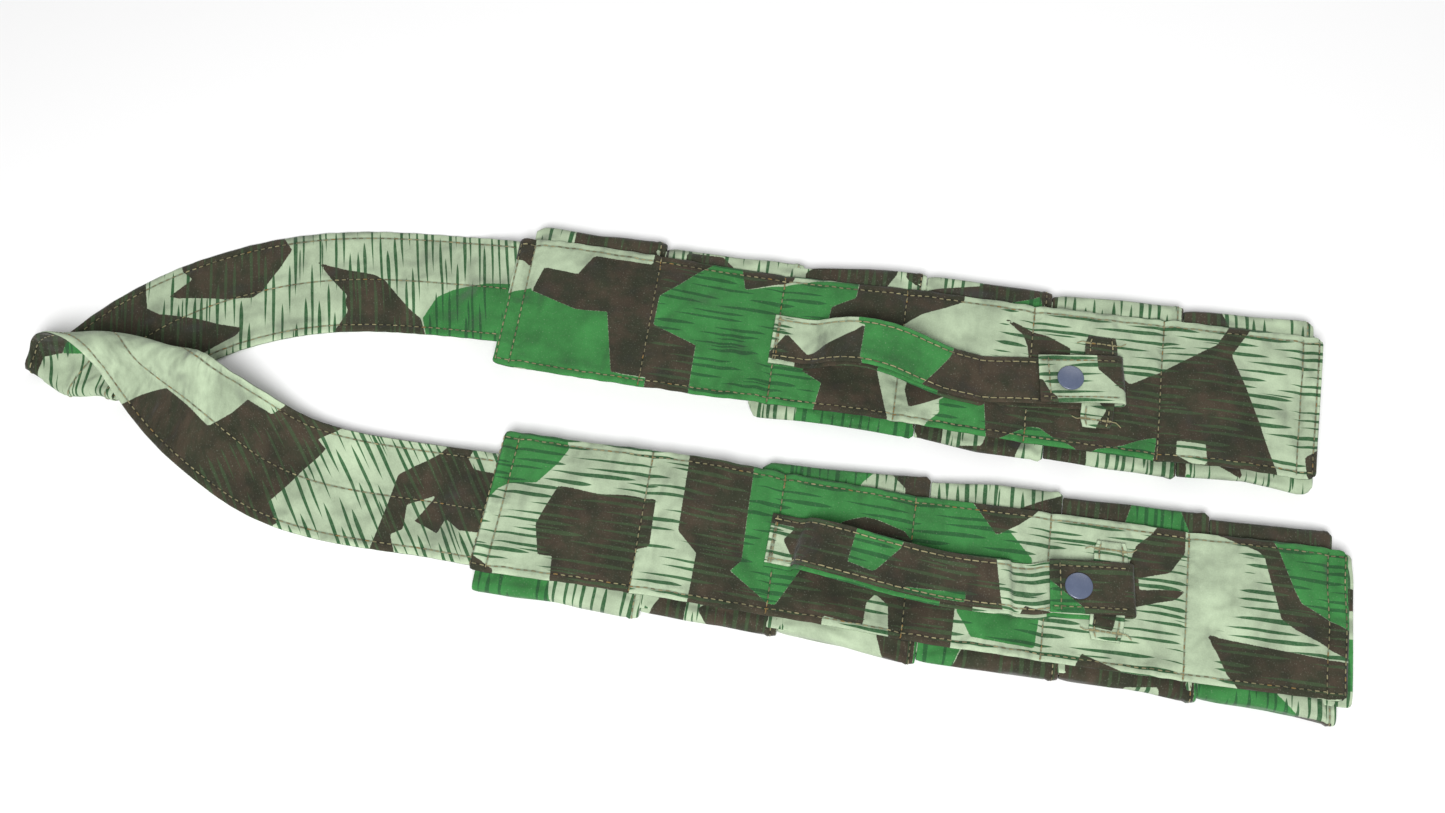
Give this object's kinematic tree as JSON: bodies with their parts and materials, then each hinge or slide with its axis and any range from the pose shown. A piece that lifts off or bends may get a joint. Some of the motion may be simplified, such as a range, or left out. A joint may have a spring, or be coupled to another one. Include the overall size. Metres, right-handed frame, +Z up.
{
  "type": "cloth pouch bandolier",
  "caption": "Cloth bandolier: curved neck strap with two legs of flapped press-stud pouches and a snap belt strap on each back, laid flat back side up.",
  "frame": {"origin": "centre of the object's plan at table height, lying flat with its back up", "axes": "+X along the legs towards their free ends, +Y across them towards leg 1, +Z up"},
  "size_m": [0.7039, 0.219, 0.0342],
  "materials": {
    "neck_strap": "splinter camouflage print on dense cotton cloth",
    "leg1_back_panel": "splinter camouflage print on dense cotton cloth",
    "leg1_pouch_1": "splinter camouflage print on dense cotton cloth",
    "leg1_pouch_stud_1": "plated steel",
    "leg1_flap_1": "splinter camouflage print on dense cotton cloth",
    "leg1_flap_stud_1": "satin blue-grey paint",
    "leg1_pouch_2": "splinter camouflage print on dense cotton cloth",
    "leg1_pouch_stud_2": "plated steel",
    "leg1_flap_2": "splinter camouflage print on dense cotton cloth",
    "leg1_flap_stud_2": "satin blue-grey paint",
    "leg1_pouch_3": "splinter camouflage print on dense cotton cloth",
    "leg1_pouch_stud_3": "plated steel",
    "leg1_flap_3": "splinter camouflage print on dense cotton cloth",
    "leg1_flap_stud_3": "satin blue-grey paint",
    "leg1_pouch_4": "splinter camouflage print on dense cotton cloth",
    "leg1_pouch_stud_4": "plated steel",
    "leg1_flap_4": "splinter camouflage print on dense cotton cloth",
    "leg1_flap_stud_4": "satin blue-grey paint",
    "leg1_pouch_5": "splinter camouflage print on dense cotton cloth",
    "leg1_pouch_stud_5": "plated steel",
    "leg1_flap_5": "splinter camouflage print on dense cotton cloth",
    "leg1_flap_stud_5": "satin blue-grey paint",
    "leg1_pouch_6": "splinter camouflage print on dense cotton cloth",
    "leg1_pouch_stud_6": "plated steel",
    "leg1_flap_6": "splinter camouflage print on dense cotton cloth",
    "leg1_flap_stud_6": "satin blue-grey paint",
    "leg1_belt_strap": "splinter camouflage print on dense cotton cloth",
    "leg1_belt_keeper": "splinter camouflage print on dense cotton cloth",
    "leg1_belt_tab": "splinter camouflage print on dense cotton cloth",
    "leg1_belt_snap": "satin blue-grey paint",
    "leg2_back_panel": "splinter camouflage print on dense cotton cloth",
    "leg2_pouch_1": "splinter camouflage print on dense cotton cloth",
    "leg2_pouch_stud_1": "plated steel",
    "leg2_flap_1": "splinter camouflage print on dense cotton cloth",
    "leg2_flap_stud_1": "satin blue-grey paint",
    "leg2_pouch_2": "splinter camouflage print on dense cotton cloth",
    "leg2_pouch_stud_2": "plated steel",
    "leg2_flap_2": "splinter camouflage print on dense cotton cloth",
    "leg2_flap_stud_2": "satin blue-grey paint",
    "leg2_pouch_3": "splinter camouflage print on dense cotton cloth",
    "leg2_pouch_stud_3": "plated steel",
    "leg2_flap_3": "splinter camouflage print on dense cotton cloth",
    "leg2_flap_stud_3": "satin blue-grey paint",
    "leg2_pouch_4": "splinter camouflage print on dense cotton cloth",
    "leg2_pouch_stud_4": "plated steel",
    "leg2_flap_4": "splinter camouflage print on dense cotton cloth",
    "leg2_flap_stud_4": "satin blue-grey paint",
    "leg2_pouch_5": "splinter camouflage print on dense cotton cloth",
    "leg2_pouch_stud_5": "plated steel",
    "leg2_flap_5": "splinter camouflage print on dense cotton cloth",
    "leg2_flap_stud_5": "satin blue-grey paint",
    "leg2_pouch_6": "splinter camouflage print on dense cotton cloth",
    "leg2_pouch_stud_6": "plated steel",
    "leg2_flap_6": "splinter camouflage print on dense cotton cloth",
    "leg2_flap_stud_6": "satin blue-grey paint",
    "leg2_belt_strap": "splinter camouflage print on dense cotton cloth",
    "leg2_belt_keeper": "splinter camouflage print on dense cotton cloth",
    "leg2_belt_tab": "splinter camouflage print on dense cotton cloth",
    "leg2_belt_snap": "satin blue-grey paint"
  },
  "bodies": {
    "neck": {"neck_strap": "neck_strap"},
    "leg1": {"leg1_back_panel": "leg1_back_panel", "leg1_pouch_1": "leg1_pouch_1", "leg1_pouch_stud_1": "leg1_pouch_stud_1", "leg1_pouch_2": "leg1_pouch_2", "leg1_pouch_stud_2": "leg1_pouch_stud_2", "leg1_pouch_3": "leg1_pouch_3", "leg1_pouch_stud_3": "leg1_pouch_stud_3", "leg1_pouch_4": "leg1_pouch_4", "leg1_pouch_stud_4": "leg1_pouch_stud_4", "leg1_pouch_5": "leg1_pouch_5", "leg1_pouch_stud_5": "leg1_pouch_stud_5", "leg1_pouch_6": "leg1_pouch_6", "leg1_pouch_stud_6": "leg1_pouch_stud_6", "leg1_belt_strap": "leg1_belt_strap", "leg1_belt_keeper": "leg1_belt_keeper"},
    "leg1_flap_body_1": {"leg1_flap_1": "leg1_flap_1", "leg1_flap_stud_1": "leg1_flap_stud_1"},
    "leg1_flap_body_2": {"leg1_flap_2": "leg1_flap_2", "leg1_flap_stud_2": "leg1_flap_stud_2"},
    "leg1_flap_body_3": {"leg1_flap_3": "leg1_flap_3", "leg1_flap_stud_3": "leg1_flap_stud_3"},
    "leg1_flap_body_4": {"leg1_flap_4": "leg1_flap_4", "leg1_flap_stud_4": "leg1_flap_stud_4"},
    "leg1_flap_body_5": {"leg1_flap_5": "leg1_flap_5", "leg1_flap_stud_5": "leg1_flap_stud_5"},
    "leg1_flap_body_6": {"leg1_flap_6": "leg1_flap_6", "leg1_flap_stud_6": "leg1_flap_stud_6"},
    "leg1_tab": {"leg1_belt_tab": "leg1_belt_tab", "leg1_belt_snap": "leg1_belt_snap"},
    "leg2": {"leg2_back_panel": "leg2_back_panel", "leg2_pouch_1": "leg2_pouch_1", "leg2_pouch_stud_1": "leg2_pouch_stud_1", "leg2_pouch_2": "leg2_pouch_2", "leg2_pouch_stud_2": "leg2_pouch_stud_2", "leg2_pouch_3": "leg2_pouch_3", "leg2_pouch_stud_3": "leg2_pouch_stud_3", "leg2_pouch_4": "leg2_pouch_4", "leg2_pouch_stud_4": "leg2_pouch_stud_4", "leg2_pouch_5": "leg2_pouch_5", "leg2_pouch_stud_5": "leg2_pouch_stud_5", "leg2_pouch_6": "leg2_pouch_6", "leg2_pouch_stud_6": "leg2_pouch_stud_6", "leg2_belt_strap": "leg2_belt_strap", "leg2_belt_keeper": "leg2_belt_keeper"},
    "leg2_flap_body_1": {"leg2_flap_1": "leg2_flap_1", "leg2_flap_stud_1": "leg2_flap_stud_1"},
    "leg2_flap_body_2": {"leg2_flap_2": "leg2_flap_2", "leg2_flap_stud_2": "leg2_flap_stud_2"},
    "leg2_flap_body_3": {"leg2_flap_3": "leg2_flap_3", "leg2_flap_stud_3": "leg2_flap_stud_3"},
    "leg2_flap_body_4": {"leg2_flap_4": "leg2_flap_4", "leg2_flap_stud_4": "leg2_flap_stud_4"},
    "leg2_flap_body_5": {"leg2_flap_5": "leg2_flap_5", "leg2_flap_stud_5": "leg2_flap_stud_5"},
    "leg2_flap_body_6": {"leg2_flap_6": "leg2_flap_6", "leg2_flap_stud_6": "leg2_flap_stud_6"},
    "leg2_tab": {"leg2_belt_tab": "leg2_belt_tab", "leg2_belt_snap": "leg2_belt_snap"}
  },
  "joints": [
    {"name": "leg1_seam", "type": "hinge", "parent": "neck", "child": "leg1", "pos_m": [-0.101, 0.0581, 0.0136], "axis": [0, -1, 0], "range_deg": [0, 160]},
    {"name": "leg1_flap_hinge_1", "type": "hinge", "parent": "leg1", "child": "leg1_flap_body_1", "pos_m": [-0.0565, 0.109, 0.01155], "axis": [1, 0, 0], "range_deg": [0, 150]},
    {"name": "leg1_flap_hinge_2", "type": "hinge", "parent": "leg1", "child": "leg1_flap_body_2", "pos_m": [0.0135, 0.109, 0.01155], "axis": [1, 0, 0], "range_deg": [0, 150]},
    {"name": "leg1_flap_hinge_3", "type": "hinge", "parent": "leg1", "child": "leg1_flap_body_3", "pos_m": [0.0835, 0.109, 0.01155], "axis": [1, 0, 0], "range_deg": [0, 150]},
    {"name": "leg1_flap_hinge_4", "type": "hinge", "parent": "leg1", "child": "leg1_flap_body_4", "pos_m": [0.1535, 0.109, 0.01155], "axis": [1, 0, 0], "range_deg": [0, 150]},
    {"name": "leg1_flap_hinge_5", "type": "hinge", "parent": "leg1", "child": "leg1_flap_body_5", "pos_m": [0.2235, 0.109, 0.01155], "axis": [1, 0, 0], "range_deg": [0, 150]},
    {"name": "leg1_flap_hinge_6", "type": "hinge", "parent": "leg1", "child": "leg1_flap_body_6", "pos_m": [0.2935, 0.109, 0.01155], "axis": [1, 0, 0], "range_deg": [0, 150]},
    {"name": "leg1_tab_hinge", "type": "hinge", "parent": "leg1", "child": "leg1_tab", "pos_m": [0.2318, 0.05725, 0.01925], "axis": [-0.1219, 0.9925, 0], "range_deg": [0, 165]},
    {"name": "leg2_seam", "type": "hinge", "parent": "neck", "child": "leg2", "pos_m": [-0.087, -0.0581, 0.0136], "axis": [0, -1, 0], "range_deg": [0, 160]},
    {"name": "leg2_flap_hinge_1", "type": "hinge", "parent": "leg2", "child": "leg2_flap_body_1", "pos_m": [-0.0425, -0.109, 0.01155], "axis": [-1, 0, 0], "range_deg": [0, 150]},
    {"name": "leg2_flap_hinge_2", "type": "hinge", "parent": "leg2", "child": "leg2_flap_body_2", "pos_m": [0.0275, -0.109, 0.01155], "axis": [-1, 0, 0], "range_deg": [0, 150]},
    {"name": "leg2_flap_hinge_3", "type": "hinge", "parent": "leg2", "child": "leg2_flap_body_3", "pos_m": [0.0975, -0.109, 0.01155], "axis": [-1, 0, 0], "range_deg": [0, 150]},
    {"name": "leg2_flap_hinge_4", "type": "hinge", "parent": "leg2", "child": "leg2_flap_body_4", "pos_m": [0.1675, -0.109, 0.01155], "axis": [-1, 0, 0], "range_deg": [0, 150]},
    {"name": "leg2_flap_hinge_5", "type": "hinge", "parent": "leg2", "child": "leg2_flap_body_5", "pos_m": [0.2375, -0.109, 0.01155], "axis": [-1, 0, 0], "range_deg": [0, 150]},
    {"name": "leg2_flap_hinge_6", "type": "hinge", "parent": "leg2", "child": "leg2_flap_body_6", "pos_m": [0.3075, -0.109, 0.01155], "axis": [-1, 0, 0], "range_deg": [0, 150]},
    {"name": "leg2_tab_hinge", "type": "hinge", "parent": "leg2", "child": "leg2_tab", "pos_m": [0.2459, -0.0609, 0.01925], "axis": [-0.0872, 0.9962, 0], "range_deg": [0, 165]}
  ]
}
